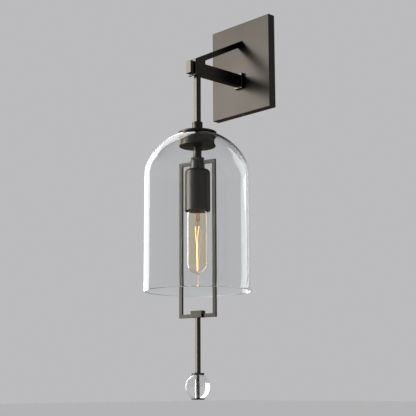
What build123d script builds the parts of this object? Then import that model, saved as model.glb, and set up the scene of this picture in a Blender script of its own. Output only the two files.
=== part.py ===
from build123d import *
import os
from math import sqrt, sin, cos, tan, radians

# Pendant wall sconce.
# The wall is the plane Y = 0, the fixture stands out towards -Y, and Z is up.
# The origin is the centre of the wall strap's screw pattern on the wall.

# ---------------------------------------------------------------- sizes, mm
# backplate and its hidden wall strap
plate_width = 133.0
plate_height = 157.0
plate_depth = 14.0
plate_wall = 2.0
plate_edge_round = 0.8
strap_width = 25.0
strap_thick = 1.5
strap_tab_depth = 10.0
strap_end_gap = 0.3
box_screw_spacing = 79.4
box_slot_length = 14.3
box_slot_radius = 2.4
strap_wire_hole_radius = 7.0
set_screw_radius = 2.0
set_screw_length = 7.0
set_screw_inset = 7.0
ground_screw_height = 22.0
ground_screw_radius = 2.0
ground_head_radius = 4.0
ground_head_thick = 1.6

# bracket: a square bar with a sloping brace over it
reach = 112.0
bar_width = 11.0
bar_height = 20.0
bar_level = -22.75
bar_nose_length = 8.0
bar_wall = 2.0
bar_floor = 4.0
bar_solid_rear = 16.0
bar_chamber_ahead = 6.0
brace_slope = 27.5
brace_depth = 9.0
brace_mid_rise = 28.95
brace_mid_back = 47.0
brace_foot_ahead = 8.5
brace_foot_behind = 13.0
collar_width = 17.4
collar_height = 26.0
collar_gap = 0.05
front_collar_thick = 3.0
plate_collar_thick = 5.5
arm_nipple_radius = 4.0
arm_nipple_bore = 2.8
arm_nipple_front = 28.0
arm_nipple_rear = 8.0
arm_washer_thick = 1.0
arm_washer_radius = 7.5
arm_nut_thick = 3.0
arm_nut_flats = 13.0
brace_screw_radius = 2.0
brace_screw_length = 7.5
brace_screw_drop = 2.549
brace_screw_clear = 0.5
brace_head_radius = 4.0
brace_head_thick = 2.4

# pendant stem, down to the cap over the glass
stem_side = 9.0
stem_edge_round = 2.0
stem_bore = 2.5
stem_spigot_radius = 3.5
stem_length = 78.25
stem_lower_spigot = 8.0
coupler_radius = 8.35
coupler_length = 16.5
cap_radius = 30.7
cap_thick = 3.0
cap_edge_round = 0.6
nipple_radius = 5.0
nipple_bore = 3.4
nipple_into_coupler = 7.9
nipple_below_bridge = 1.5
thread_gap = 0.05
turn_gap = 0.05

# glass shade and its clamp
gasket_thick = 1.0
gasket_radius = 27.0
shade_radius = 83.5
shade_shoulder_radius = 48.5
shade_crown_extra = 3.0
shade_wall = 3.0
shade_seat_radius = 30.5
shade_hole_radius = 21.0
shade_height = 249.5
clamp_radius = 27.25
clamp_thick = 5.0
clamp_spigot_gap = 0.3
clamp_spigot_height = 3.0
shade_nut_height = 10.0
shade_nut_lip_radius = 29.0
shade_nut_lip_thick = 3.0
shade_nut_wall = 3.0
sleeve_radius = 6.5
sleeve_length = 18.4
lock_nut_radius = 10.5
lock_nut_thick = 5.0
knurl_count = 36
knurl_depth = 0.45

# swinging frame round the lamp
frame_turn = 12.8
hub_radius = 11.35
hub_height = 14.0
frame_width = 68.0
frame_height = 246.3
frame_below_hub_top = 0.6
strip_face = 5.6
strip_thick = 3.8
foot_length = 21.0
foot_depth = 10.5
foot_height = 10.5
foot_socket = 6.0
rod_side = 7.0
rod_edge_round = 2.0
rod_length = 84.0
rod_spigot_radius = 2.2
rod_spigot_height = 7.0
ball_pin_radius = 2.5
ball_cap_radius = 9.5
ball_cap_thick = 3.0
ball_radius = 19.7
ball_half_height = 17.2
ball_bore_gap = 0.3
end_disc_radius = 10.0
end_disc_thick = 2.5

# lamp socket
cup_radius = 20.0
cup_wall = 1.5
cup_height = 66.85
cup_shoulder = 6.0
socket_nut_flats = 14.0
socket_nut_thick = 4.0
bridge_length = 30.0
bridge_width = 12.0
bridge_thick = 1.5
bridge_gap = 1.85
bridge_screw_offset = 12.0
bridge_screw_radius = 1.5
bridge_screw_length = 8.0
bridge_head_radius = 2.9
bridge_head_thick = 1.4
holder_radius = 17.4
holder_height = 52.0
holder_well_length = 30.0
holder_well_width = 11.0
holder_well_depth = 9.0
holder_bore = 14.3
holder_roof = 16.0
shell_outer = 14.0
shell_inner = 13.5
shell_recess = 3.0
shell_roof_hole = 10.5
contact_thick = 0.6
contact_stand = 2.0
contact_width = 6.0
contact_reach = 9.0
terminal_offset = 12.0
terminal_head_radius = 3.0
terminal_head_thick = 2.0
terminal_screw_radius = 1.6
terminal_screw_length = 5.0

# lamp: screw cap, tubular glass, long filament
lamp_length = 138.0
lamp_seat_gap = 0.3
lamp_glass_radius = 15.9
lamp_neck_radius = 12.4
lamp_glass_wall = 0.9
lamp_shell_radius = 13.15
lamp_shell_wall = 0.35
lamp_shell_length = 24.0
lamp_crown_height = 3.6
lamp_crown_radius = 9.5
lamp_contact_radius = 4.2
lamp_contact_height = 1.0
lamp_neck_length = 18.1
lamp_mount_radius = 3.4
lamp_mount_length = 24.1
lamp_flare_height = 9.0
lamp_neck_inside = 6.0
lead_radius = 0.35
lead_offset = 5.0
lead_length = 11.0
filament_radius = 0.4
filament_offset = 5.0
filament_length = 70.0
support_rod_radius = 0.9
support_wire_radius = 0.3
support_first = 18.0
support_pitch = 19.0
support_count = 3
support_rod_short = 6.0

# wiring
wire_radius = 0.9
wire_offset = 1.05
wire_back_depth = 3.0
wire_nut_radius = 4.75
wire_nut_length = 22.0
wire_nut_across = 40.0
wire_nut_depth = 6.2
wire_nut_mouth = 2.0
wire_nut_grip = 6.0
wire_nut_tip_radius = 3.15
ground_nut_across = 54.0
ground_nut_drop = 8.0
ground_wire_rise = 14.0
ground_wire_first_rise = 6.0
ground_wire_clear = 4.0
ground_wire_bends = [12.0, 10.0]
line_wire_bends = [5.0, 6.0, 4.8, 12.0]

# ------------------------------------------------------- levels worked out
axis_y = -reach
bar_top = bar_level + bar_height / 2
bar_bottom = bar_level - bar_height / 2
brace_foot_front = reach + brace_foot_ahead
brace_foot_rear = reach - brace_foot_behind
bar_front = brace_foot_front + front_collar_thick + bar_nose_length
bar_chamber_front = reach + bar_chamber_ahead
stem_bottom = bar_bottom - stem_length
coupler_bottom = stem_bottom - coupler_length
nipple_top = coupler_bottom + nipple_into_coupler
cap_bottom = coupler_bottom - cap_thick
shade_top = cap_bottom - gasket_thick
shade_inside_top = shade_top - shade_wall
shade_rim = shade_top - shade_height
shade_crown_radius = shade_radius + shade_crown_extra
clamp_top = shade_inside_top - gasket_thick
clamp_bottom = clamp_top - clamp_thick
shade_nut_top = clamp_bottom - turn_gap
shade_nut_bottom = shade_nut_top - shade_nut_height
sleeve_top = shade_nut_bottom - turn_gap
sleeve_bottom = sleeve_top - sleeve_length
lock_nut_top = sleeve_bottom - turn_gap
hub_top = lock_nut_top - lock_nut_thick - turn_gap
hub_bottom = hub_top - hub_height
frame_top = hub_top - frame_below_hub_top
frame_bottom = frame_top - frame_height
rod_bottom = frame_bottom - rod_length
cup_top = hub_bottom - turn_gap
cup_bottom = cup_top - cup_height
bridge_top = cup_top - cup_wall - socket_nut_thick - bridge_gap
holder_top = bridge_top - bridge_thick
holder_bottom = holder_top - holder_height
holder_bore_top = holder_top - holder_roof
nipple_bottom = holder_top - nipple_below_bridge
well_floor = holder_top - holder_well_depth
shell_bottom = holder_bottom + shell_recess
lamp_top = holder_bore_top - contact_stand - lamp_seat_gap
lamp_tip = lamp_top - lamp_length
ball_top = rod_bottom - ball_cap_thick - turn_gap
ball_centre = ball_top - ball_half_height
end_disc_top = ball_centre - ball_half_height - turn_gap
end_disc_bottom = end_disc_top - end_disc_thick


rise = tan(radians(brace_slope))
half_depth = brace_depth / 2 / cos(radians(brace_slope))


def brace_level(distance):
    """Height of the brace's middle line at a distance from the wall."""
    return bar_top + brace_mid_rise + rise * (reach - brace_mid_back - distance)


brace_screw_level = brace_level(plate_depth) - brace_screw_drop


def level(height):
    """Horizontal sketch plane on the pendant's axis."""
    return Plane(origin=(0, axis_y, height), x_dir=(1, 0, 0), z_dir=(0, 0, 1))


def turned(height):
    """Horizontal sketch plane on the pendant's axis, turned with the frame."""
    return Plane(origin=(0, axis_y, height), z_dir=(0, 0, 1),
                 x_dir=(cos(radians(frame_turn)), sin(radians(frame_turn)), 0))


pendant_axis = Axis((0, axis_y, 0), (0, 0, 1))
profile_plane = Plane(origin=(0, axis_y, 0), x_dir=(1, 0, 0), z_dir=(0, -1, 0))

# ------------------------------------------------------------- at the wall
# Backplate: a shallow pan, open to the wall.
with BuildPart() as backplate:
    with BuildSketch(Plane.XZ):
        Rectangle(plate_width, plate_height)
    extrude(amount=plate_depth)
    fillet(backplate.faces().sort_by(Axis.Y)[0].edges(), plate_edge_round)
    with BuildSketch(Plane.XZ):
        Rectangle(plate_width - 2 * plate_wall, plate_height - 2 * plate_wall)
    extrude(amount=plate_depth - plate_wall, mode=Mode.SUBTRACT)
    # hole for the arm's nipple, and hole for the brace's screw
    with BuildSketch(Plane.XZ):
        with Locations((0, bar_level)):
            Circle(arm_nipple_radius + thread_gap)
        with Locations((0, brace_screw_level)):
            Circle(brace_screw_radius + thread_gap)
    extrude(amount=plate_depth, mode=Mode.SUBTRACT)
    # tapped holes for the set screws, top and bottom
    with BuildSketch(Plane.XY.offset(-plate_height / 2)):
        with Locations((0, -set_screw_inset)):
            Circle(set_screw_radius + thread_gap)
    extrude(amount=plate_height, mode=Mode.SUBTRACT)

# Wall strap: bent steel strip with two slots for the wall box's screws.
strap_end = plate_height / 2 - plate_wall - strap_end_gap
with BuildPart() as wall_strap:
    with BuildSketch(Plane.XZ):
        Rectangle(strap_width, 2 * strap_end)
    extrude(amount=strap_thick)
    with BuildSketch(Plane.XZ):
        with Locations((0, strap_end - strap_thick / 2), (0, -strap_end + strap_thick / 2)):
            Rectangle(strap_width, strap_thick)
    extrude(amount=strap_tab_depth)
    with BuildSketch(Plane.XZ):
        with Locations((0, box_screw_spacing / 2), (0, -box_screw_spacing / 2)):
            SlotOverall(box_slot_length, 2 * box_slot_radius, rotation=90)
        with Locations((0, bar_level)):
            Circle(strap_wire_hole_radius)
        with Locations((0, ground_screw_height)):
            Circle(ground_screw_radius + thread_gap)
    extrude(amount=strap_thick, mode=Mode.SUBTRACT)
    with BuildSketch(Plane.XY.offset(-plate_height / 2)):
        with Locations((0, -set_screw_inset)):
            Circle(set_screw_radius + thread_gap)
    extrude(amount=plate_height, mode=Mode.SUBTRACT)

# Set screws: two socket grub screws that hold the plate on the strap's tabs.
with BuildPart() as set_screws:
    with BuildSketch(Plane.XY.offset(plate_height / 2 - 0.3)):
        with Locations((0, -set_screw_inset)):
            Circle(set_screw_radius)
    extrude(amount=-set_screw_length)
    with BuildSketch(Plane.XY.offset(plate_height / 2 - 0.3)):
        with Locations((0, -set_screw_inset)):
            RegularPolygon(radius=1.1, side_count=6)
    extrude(amount=-2.0, mode=Mode.SUBTRACT)
    mirror(about=Plane.XY)

# Ground screw: pan head on the strap's face.
with BuildPart() as ground_screw:
    with BuildSketch(Plane.XZ):
        with Locations((0, ground_screw_height)):
            Circle(ground_screw_radius)
    extrude(amount=strap_thick)
    with BuildSketch(Plane.XZ.offset(strap_thick)):
        with Locations((0, ground_screw_height)):
            Circle(ground_head_radius)
    extrude(amount=ground_head_thick)
    with BuildSketch(Plane.XZ.offset(strap_thick + ground_head_thick - 0.7)):
        with Locations((0, ground_screw_height)):
            Rectangle(2 * ground_head_radius, 1.0)
    extrude(amount=0.7, mode=Mode.SUBTRACT)

# -------------------------------------------------------------- bracket
# Arm bar: one bar from the plate to the front, with a chamber for the wires.
with BuildPart() as arm_bar:
    with BuildSketch(Plane.XZ.offset(plate_depth)):
        with Locations((0, bar_level)):
            Rectangle(bar_width, bar_height)
    extrude(amount=bar_front - plate_depth)
    fillet(arm_bar.faces().sort_by(Axis.Y)[0].edges(), 0.4)
    chamber_top = bar_top - bar_wall
    chamber_bottom = bar_bottom + bar_floor
    with BuildSketch(Plane.XZ.offset(plate_depth + bar_solid_rear)):
        with Locations((0, (chamber_top + chamber_bottom) / 2)):
            Rectangle(bar_width - 2 * bar_wall, chamber_top - chamber_bottom)
    extrude(amount=bar_chamber_front - plate_depth - bar_solid_rear, mode=Mode.SUBTRACT)
    # threaded hole for the nipple at the plate
    with BuildSketch(Plane.XZ.offset(plate_depth)):
        with Locations((0, bar_level)):
            Circle(arm_nipple_radius + thread_gap)
    extrude(amount=bar_solid_rear, mode=Mode.SUBTRACT)
    # threaded hole for the stem in the floor of the bar
    with BuildSketch(level(bar_bottom)):
        Circle(stem_spigot_radius + thread_gap)
    extrude(amount=bar_floor, mode=Mode.SUBTRACT)

# Brace: a bar that rises to the plate from a foot that lies on the arm.
with BuildPart() as brace:
    with BuildSketch(Plane.YZ):
        with BuildLine():
            Polyline(
                (-brace_foot_front, bar_top),
                (-brace_foot_front, brace_level(brace_foot_front) + half_depth),
                (-plate_depth, brace_level(plate_depth) + half_depth),
                (-plate_depth, brace_level(plate_depth) - half_depth),
                (-brace_foot_rear, brace_level(brace_foot_rear) - half_depth),
                (-brace_foot_rear, bar_top),
                close=True,
            )
        make_face()
    extrude(amount=bar_width / 2, both=True)
    with BuildSketch(Plane.XZ.offset(plate_depth)):
        with Locations((0, brace_screw_level)):
            Circle(brace_screw_radius + thread_gap)
    extrude(amount=brace_screw_length + brace_screw_clear, mode=Mode.SUBTRACT)

# Brace screw: from inside the pan into the end of the brace.
with BuildPart() as brace_screw:
    with BuildSketch(Plane.XZ.offset(plate_depth - plate_wall)):
        with Locations((0, brace_screw_level)):
            Circle(brace_head_radius)
    extrude(amount=-brace_head_thick)
    with BuildSketch(Plane.XZ.offset(plate_depth - plate_wall)):
        with Locations((0, brace_screw_level)):
            Circle(brace_screw_radius)
    extrude(amount=plate_wall + brace_screw_length)
    with BuildSketch(Plane.XZ.offset(plate_depth - plate_wall - brace_head_thick)):
        with Locations((0, brace_screw_level)):
            Rectangle(2 * brace_head_radius, 1.0)
            Rectangle(1.0, 2 * brace_head_radius)
    extrude(amount=0.9, mode=Mode.SUBTRACT)

# Front collar: a thin square ring round the arm, ahead of the brace's foot.
with BuildPart() as front_collar:
    with BuildSketch(Plane.XZ.offset(brace_foot_front)):
        with Locations((0, bar_level)):
            Rectangle(collar_width, collar_height)
            Rectangle(bar_width + 2 * collar_gap, bar_height + 2 * collar_gap, mode=Mode.SUBTRACT)
    extrude(amount=front_collar_thick)
    chamfer(front_collar.faces().sort_by(Axis.Y)[0].outer_wire().edges(), 0.4)

# Plate collar: the same ring where the arm meets the plate.
with BuildPart() as plate_collar:
    with BuildSketch(Plane.XZ.offset(plate_depth)):
        with Locations((0, bar_level)):
            Rectangle(collar_width, collar_height)
            Rectangle(bar_width + 2 * collar_gap, bar_height + 2 * collar_gap, mode=Mode.SUBTRACT)
    extrude(amount=plate_collar_thick)
    chamfer(plate_collar.faces().sort_by(Axis.Y)[0].outer_wire().edges(), 0.4)

# Arm nipple: threaded tube that ties the arm to the pan and lets the wires in.
with BuildPart() as arm_nipple:
    with BuildSketch(Plane.XZ.offset(arm_nipple_rear)):
        with Locations((0, bar_level)):
            Circle(arm_nipple_radius)
            Circle(arm_nipple_bore, mode=Mode.SUBTRACT)
    extrude(amount=arm_nipple_front - arm_nipple_rear)

with BuildPart() as arm_washer:
    with BuildSketch(Plane.XZ.offset(plate_depth - plate_wall - arm_washer_thick)):
        with Locations((0, bar_level)):
            Circle(arm_washer_radius)
            Circle(arm_nipple_radius + thread_gap, mode=Mode.SUBTRACT)
    extrude(amount=arm_washer_thick)

with BuildPart() as arm_nut:
    nut_face = plate_depth - plate_wall - arm_washer_thick - arm_nut_thick
    with BuildSketch(Plane.XZ.offset(nut_face)):
        with Locations((0, bar_level)):
            RegularPolygon(radius=arm_nut_flats / 2, side_count=6, major_radius=False)
            Circle(arm_nipple_radius + thread_gap, mode=Mode.SUBTRACT)
    extrude(amount=arm_nut_thick)

# ------------------------------------------------------------ pendant stem
# Stem: square bar, rounded along its edges, with a round spigot at each end and a bore for the wires.
with BuildPart() as stem:
    with BuildSketch(level(stem_bottom)):
        Rectangle(stem_side, stem_side)
    extrude(amount=bar_bottom - stem_bottom)
    fillet(stem.edges().filter_by(Axis.Z), stem_edge_round)
    with BuildSketch(level(stem_bottom - stem_lower_spigot)):
        Circle(stem_spigot_radius)
    extrude(amount=bar_bottom + bar_floor - stem_bottom + stem_lower_spigot)
    with BuildSketch(level(stem_bottom - stem_lower_spigot)):
        Circle(stem_bore)
    extrude(amount=bar_bottom + bar_floor - stem_bottom + stem_lower_spigot, mode=Mode.SUBTRACT)

# Coupler: round sleeve between the stem's spigot and the main nipple.
with BuildPart() as coupler:
    with BuildSketch(level(coupler_bottom)):
        Circle(coupler_radius)
    extrude(amount=stem_bottom - coupler_bottom)
    chamfer(coupler.faces().sort_by(Axis.Z)[-1].edges(), 0.5)
    with BuildSketch(level(stem_bottom)):
        Circle(stem_spigot_radius + thread_gap)
    extrude(amount=coupler_bottom - stem_bottom, mode=Mode.SUBTRACT)
    with BuildSketch(level(coupler_bottom)):
        Circle(nipple_radius + thread_gap)
    extrude(amount=nipple_top + 0.2 - coupler_bottom, mode=Mode.SUBTRACT)

# Main nipple: the long threaded tube that carries everything below.
with BuildPart() as main_nipple:
    with BuildSketch(level(nipple_bottom)):
        Circle(nipple_radius)
        Circle(nipple_bore, mode=Mode.SUBTRACT)
    extrude(amount=nipple_top - nipple_bottom)

# Cap: flat disc on top of the glass.
with BuildPart() as cap:
    with BuildSketch(level(cap_bottom)):
        Circle(cap_radius)
        Circle(nipple_radius + thread_gap, mode=Mode.SUBTRACT)
    extrude(amount=cap_thick)
    fillet(cap.faces().sort_by(Axis.Z)[-1].outer_wire().edges(), cap_edge_round)

# Gaskets: one above the glass, one below it.
with BuildPart() as upper_gasket:
    with BuildSketch(level(shade_top)):
        Circle(gasket_radius)
        Circle(shade_hole_radius, mode=Mode.SUBTRACT)
    extrude(amount=gasket_thick)

with BuildPart() as lower_gasket:
    with BuildSketch(level(clamp_top)):
        Circle(gasket_radius)
        Circle(shade_hole_radius, mode=Mode.SUBTRACT)
    extrude(amount=gasket_thick)

# ------------------------------------------------------------- glass shade
# Shade: revolved wall of even thickness. A flat seat, a crown arc, a shoulder
# arc that meets it without a corner, a straight side and an open round rim.
shoulder_centre_r = shade_radius - shade_shoulder_radius
crown_drop = sqrt((shade_crown_radius - shade_shoulder_radius) ** 2 - shoulder_centre_r ** 2)
seat_above_crown_centre = sqrt(shade_crown_radius ** 2 - shade_seat_radius ** 2)
crown_centre_z = shade_top - seat_above_crown_centre
shoulder_z = crown_centre_z + crown_drop
# direction from the crown's centre through the shoulder's centre
join_r = shoulder_centre_r / (shade_crown_radius - shade_shoulder_radius)
join_z = crown_drop / (shade_crown_radius - shade_shoulder_radius)
# middle of each arc, as directions
shoulder_mid_r = cos(radians(11))
shoulder_mid_z = sin(radians(11))
crown_inner_radius = shade_crown_radius - shade_wall
shoulder_inner_radius = shade_shoulder_radius - shade_wall
inner_seat_radius = sqrt(crown_inner_radius ** 2 - (shade_inside_top - crown_centre_z) ** 2)


def crown_point(radius, distance):
    """Point of a crown arc at a distance from the axis."""
    return (distance, crown_centre_z + sqrt(radius ** 2 - distance ** 2))


outer_join = (shade_crown_radius * join_r, crown_centre_z + shade_crown_radius * join_z)
inner_join = (crown_inner_radius * join_r, crown_centre_z + crown_inner_radius * join_z)
with BuildPart() as shade:
    with BuildSketch(profile_plane):
        with BuildLine():
            Line((shade_hole_radius, shade_top), (shade_seat_radius, shade_top))
            ThreePointArc(
                (shade_seat_radius, shade_top),
                crown_point(shade_crown_radius, (shade_seat_radius + outer_join[0]) / 2),
                outer_join,
            )
            ThreePointArc(
                outer_join,
                (shoulder_centre_r + shade_shoulder_radius * shoulder_mid_r,
                 shoulder_z + shade_shoulder_radius * shoulder_mid_z),
                (shade_radius, shoulder_z),
            )
            Line((shade_radius, shoulder_z), (shade_radius, shade_rim + shade_wall / 2))
            ThreePointArc(
                (shade_radius, shade_rim + shade_wall / 2),
                (shade_radius - shade_wall / 2, shade_rim),
                (shade_radius - shade_wall, shade_rim + shade_wall / 2),
            )
            Line((shade_radius - shade_wall, shade_rim + shade_wall / 2),
                 (shade_radius - shade_wall, shoulder_z))
            ThreePointArc(
                (shade_radius - shade_wall, shoulder_z),
                (shoulder_centre_r + shoulder_inner_radius * shoulder_mid_r,
                 shoulder_z + shoulder_inner_radius * shoulder_mid_z),
                inner_join,
            )
            ThreePointArc(
                inner_join,
                crown_point(crown_inner_radius, (inner_seat_radius + inner_join[0]) / 2),
                (inner_seat_radius, shade_inside_top),
            )
            Line((inner_seat_radius, shade_inside_top), (shade_hole_radius, shade_inside_top))
            Line((shade_hole_radius, shade_inside_top), (shade_hole_radius, shade_top))
        make_face()
    revolve(axis=pendant_axis)

# Clamp ring: presses the lower gasket, its spigot centres the glass.
with BuildPart() as clamp_ring:
    with BuildSketch(level(clamp_bottom)):
        Circle(clamp_radius)
    extrude(amount=clamp_thick)
    with BuildSketch(level(clamp_top)):
        Circle(shade_hole_radius - clamp_spigot_gap)
    extrude(amount=clamp_spigot_height)
    with BuildSketch(level(clamp_bottom)):
        Circle(nipple_radius + thread_gap)
    extrude(amount=clamp_thick + clamp_spigot_height, mode=Mode.SUBTRACT)
    chamfer(clamp_ring.faces().sort_by(Axis.Z)[0].outer_wire().edges(), 0.4)

# Shade nut: hollow cup with a wider lip, turned by hand to free the glass.
with BuildPart() as shade_nut:
    with BuildSketch(level(shade_nut_bottom)):
        Circle(clamp_radius)
    extrude(amount=shade_nut_height)
    chamfer(shade_nut.faces().sort_by(Axis.Z)[-1].edges(), 0.4)
    with BuildSketch(level(shade_nut_bottom)):
        Circle(shade_nut_lip_radius)
    extrude(amount=shade_nut_lip_thick)
    fillet(shade_nut.faces().sort_by(Axis.Z)[0].edges(), 0.6)
    with BuildSketch(level(shade_nut_top)):
        Circle(clamp_radius - shade_nut_wall)
        Circle(nipple_radius + shade_nut_wall, mode=Mode.SUBTRACT)
    extrude(amount=shade_nut_wall - shade_nut_height, mode=Mode.SUBTRACT)
    with BuildSketch(level(shade_nut_bottom)):
        Circle(nipple_radius + thread_gap)
    extrude(amount=shade_nut_height, mode=Mode.SUBTRACT)

# Sleeve: plain tube over the nipple, down to the lock nut.
with BuildPart() as sleeve:
    with BuildSketch(level(sleeve_bottom)):
        Circle(sleeve_radius)
        Circle(nipple_radius + thread_gap, mode=Mode.SUBTRACT)
    extrude(amount=sleeve_top - sleeve_bottom)

# Lock nut: knurled, it holds the frame's hub against the socket cup.
with BuildPart() as lock_nut:
    with BuildSketch(level(lock_nut_top - lock_nut_thick)):
        Circle(lock_nut_radius)
        with PolarLocations(lock_nut_radius, knurl_count):
            Rectangle(2 * knurl_depth, 2 * knurl_depth, rotation=45, mode=Mode.SUBTRACT)
        Circle(nipple_radius + thread_gap, mode=Mode.SUBTRACT)
    extrude(amount=lock_nut_thick)

# ------------------------------------------------------------------- frame
# Hub: thick round washer that the frame hangs from.
with BuildPart() as hub:
    with BuildSketch(level(hub_bottom)):
        Circle(hub_radius)
        Circle(nipple_radius + turn_gap, mode=Mode.SUBTRACT)
    extrude(amount=hub_height)
    chamfer(hub.faces().sort_by(Axis.Z)[-1].outer_wire().edges(), 0.5)

# Top bars: one each side, from the hub to the frame's corners.
with BuildPart() as top_bars:
    with BuildSketch(turned(frame_top - strip_face)):
        Rectangle(frame_width, strip_thick)
        Circle(hub_radius, mode=Mode.SUBTRACT)
    extrude(amount=strip_face)

# Side bars, between the top bars and the bottom bar.
with BuildPart() as side_bars:
    with BuildSketch(turned(frame_bottom + strip_face)):
        with Locations(((frame_width - strip_face) / 2, 0), ((strip_face - frame_width) / 2, 0)):
            Rectangle(strip_face, strip_thick)
    extrude(amount=frame_top - frame_bottom - 2 * strip_face)

# Bottom bars: one each side, from the corner into the foot block's socket.
with BuildPart() as bottom_bars:
    with BuildSketch(turned(frame_bottom)):
        Rectangle(frame_width, strip_thick)
        Rectangle(foot_length - 2 * foot_socket, strip_thick, mode=Mode.SUBTRACT)
    extrude(amount=strip_face)

# Foot block: joins the two bottom bars and takes the rod.
with BuildPart() as foot_block:
    with BuildSketch(turned(frame_bottom)):
        Rectangle(foot_length, foot_depth)
    extrude(amount=foot_height)
    fillet(foot_block.edges().filter_by(Axis.Z), 0.5)
    with BuildSketch(turned(frame_bottom)):
        Rectangle(foot_length + 2 * foot_socket, strip_thick)
        Rectangle(foot_length - 2 * foot_socket, strip_thick, mode=Mode.SUBTRACT)
    extrude(amount=strip_face, mode=Mode.SUBTRACT)
    with BuildSketch(turned(frame_bottom)):
        Circle(rod_spigot_radius + thread_gap)
    extrude(amount=rod_spigot_height, mode=Mode.SUBTRACT)

# Drop rod: square bar, rounded along its edges, with a thin spigot up into the foot block and a round
# pin down through the ball.
with BuildPart() as drop_rod:
    with BuildSketch(level(rod_bottom)):
        Rectangle(rod_side, rod_side)
    extrude(amount=frame_bottom - rod_bottom)
    fillet(drop_rod.edges().filter_by(Axis.Z), rod_edge_round)
    with BuildSketch(level(frame_bottom)):
        Circle(rod_spigot_radius)
    extrude(amount=rod_spigot_height - 0.3)
    with BuildSketch(level(end_disc_bottom + 0.4)):
        Circle(ball_pin_radius)
    extrude(amount=rod_bottom - end_disc_bottom - 0.4)

# Ball cap: small disc over the ball.
with BuildPart() as ball_cap:
    with BuildSketch(level(rod_bottom - ball_cap_thick)):
        Circle(ball_cap_radius)
        Circle(ball_pin_radius + thread_gap, mode=Mode.SUBTRACT)
    extrude(amount=ball_cap_thick)
    fillet(ball_cap.faces().sort_by(Axis.Z)[-1].outer_wire().edges(), 0.5)

# Crystal ball: sphere with two flats and a hole down its middle.
with BuildPart() as crystal_ball:
    with Locations((0, axis_y, ball_centre)):
        Sphere(ball_radius)
    with BuildSketch(level(ball_centre - ball_half_height)):
        Circle(ball_radius + 1)
    extrude(amount=2 * ball_half_height, mode=Mode.INTERSECT)
    with BuildSketch(level(ball_centre - ball_half_height)):
        Circle(ball_pin_radius + ball_bore_gap)
    extrude(amount=2 * ball_half_height, mode=Mode.SUBTRACT)

# End disc: round nut under the ball.
with BuildPart() as end_disc:
    with BuildSketch(level(end_disc_bottom)):
        Circle(end_disc_radius)
    extrude(amount=end_disc_thick)
    fillet(end_disc.faces().sort_by(Axis.Z)[0].edges(), 0.7)
    with BuildSketch(level(end_disc_top)):
        Circle(ball_pin_radius + thread_gap)
    extrude(amount=0.35 - end_disc_thick, mode=Mode.SUBTRACT)

# ------------------------------------------------------------------ socket
# Socket cup: closed at the top, open below, with a rounded shoulder.
with BuildPart() as socket_cup:
    with BuildSketch(level(cup_bottom)):
        Circle(cup_radius)
    extrude(amount=cup_top - cup_bottom)
    fillet(socket_cup.faces().sort_by(Axis.Z)[-1].edges(), cup_shoulder)
    with BuildSketch(profile_plane):
        with BuildLine():
            inside_r = cup_radius - cup_wall
            inside_top = cup_top - cup_wall
            inside_round = cup_shoulder - cup_wall
            Polyline(
                (inside_r - inside_round, inside_top), (0, inside_top),
                (0, cup_bottom), (inside_r, cup_bottom),
                (inside_r, inside_top - inside_round),
            )
            RadiusArc((inside_r, inside_top - inside_round),
                      (inside_r - inside_round, inside_top), -inside_round)
        make_face()
    revolve(axis=pendant_axis, mode=Mode.SUBTRACT)
    with BuildSketch(level(cup_bottom)):
        Circle(nipple_radius + thread_gap)
    extrude(amount=cup_top - cup_bottom, mode=Mode.SUBTRACT)

with BuildPart() as socket_nut:
    with BuildSketch(level(cup_top - cup_wall - socket_nut_thick)):
        RegularPolygon(radius=socket_nut_flats / 2, side_count=6, major_radius=False)
        Circle(nipple_radius + thread_gap, mode=Mode.SUBTRACT)
    extrude(amount=socket_nut_thick)

# Bridge: steel strip that is threaded on the nipple and carries the lampholder.
with BuildPart() as bridge:
    with BuildSketch(level(holder_top)):
        Rectangle(bridge_width, bridge_length)
        Circle(nipple_radius + thread_gap, mode=Mode.SUBTRACT)
        with Locations((0, bridge_screw_offset), (0, -bridge_screw_offset)):
            Circle(bridge_screw_radius + thread_gap, mode=Mode.SUBTRACT)
    extrude(amount=bridge_thick)

with BuildPart() as bridge_screws:
    with BuildSketch(level(bridge_top)):
        with Locations((0, bridge_screw_offset), (0, -bridge_screw_offset)):
            Circle(bridge_head_radius)
    extrude(amount=bridge_head_thick)
    with BuildSketch(level(bridge_top)):
        with Locations((0, bridge_screw_offset), (0, -bridge_screw_offset)):
            Circle(bridge_screw_radius)
    extrude(amount=-bridge_screw_length)
    with BuildSketch(level(bridge_top + bridge_head_thick)):
        with Locations((0, bridge_screw_offset), (0, -bridge_screw_offset)):
            Rectangle(2 * bridge_head_radius, 0.8)
    extrude(amount=-0.6, mode=Mode.SUBTRACT)

# Lampholder: porcelain body with a well for the terminals above and the
# lamp's bore below.
with BuildPart() as lampholder:
    with BuildSketch(level(holder_bottom)):
        Circle(holder_radius)
    extrude(amount=holder_top - holder_bottom)
    with BuildSketch(level(holder_top)):
        Rectangle(holder_well_length, holder_well_width)
    extrude(amount=-holder_well_depth, mode=Mode.SUBTRACT)
    with BuildSketch(level(holder_bottom)):
        Circle(holder_bore)
    extrude(amount=holder_bore_top - holder_bottom, mode=Mode.SUBTRACT)
    with BuildSketch(level(holder_top)):
        with Locations((0, bridge_screw_offset), (0, -bridge_screw_offset)):
            Circle(bridge_screw_radius + thread_gap)
    extrude(amount=-bridge_screw_length, mode=Mode.SUBTRACT)
    with BuildSketch(level(well_floor)):
        with Locations((terminal_offset, 0), (-terminal_offset, 0)):
            Circle(terminal_screw_radius + thread_gap)
    extrude(amount=-terminal_screw_length, mode=Mode.SUBTRACT)

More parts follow.
